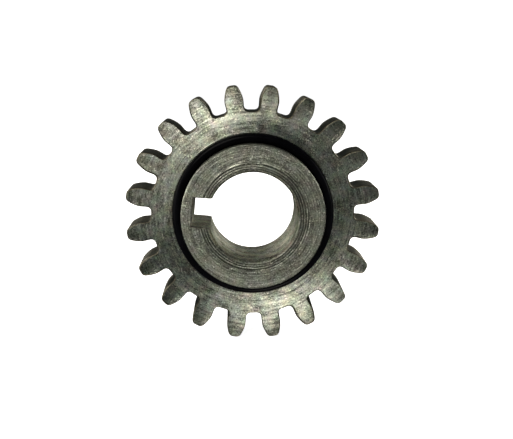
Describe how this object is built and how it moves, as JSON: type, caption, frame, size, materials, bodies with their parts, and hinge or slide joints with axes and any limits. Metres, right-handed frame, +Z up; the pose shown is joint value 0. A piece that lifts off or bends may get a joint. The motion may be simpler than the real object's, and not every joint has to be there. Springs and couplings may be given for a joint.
{
  "type": "keyed spur gear",
  "caption": "Spur gear with a keyed bore: a toothed steel ring on a turned hub, and a black rubber ring round the foot of its front boss.",
  "frame": {"origin": "on the bore's axis, halfway along the hub", "axes": "+Y along the axis of rotation, away from the front boss towards the hub's rear face; +Z up with a tooth space straight up, the gear standing on two teeth; +X to the right seen from the front; the keyway points along -X, 5.4 degrees above it"},
  "size_m": [0.0436, 0.015, 0.0436],
  "materials": {
    "ring_steel": "faced on a lathe, coarse circular tool marks, oiled, slightly mottled",
    "hub_steel": "turned, fine circular tool marks, oiled",
    "black_rubber": "smooth black rubber with a soft sheen"
  },
  "bodies": {
    "gear": {"toothed_ring": "ring_steel", "keyed_hub": "hub_steel"},
    "seal": {"o_ring": "black_rubber"}
  },
  "joints": [
    {"name": "o_ring_slide", "type": "slide", "parent": "gear", "child": "seal", "axis": [0, -1, 0], "range_m": [0, 0.0033]}
  ]
}
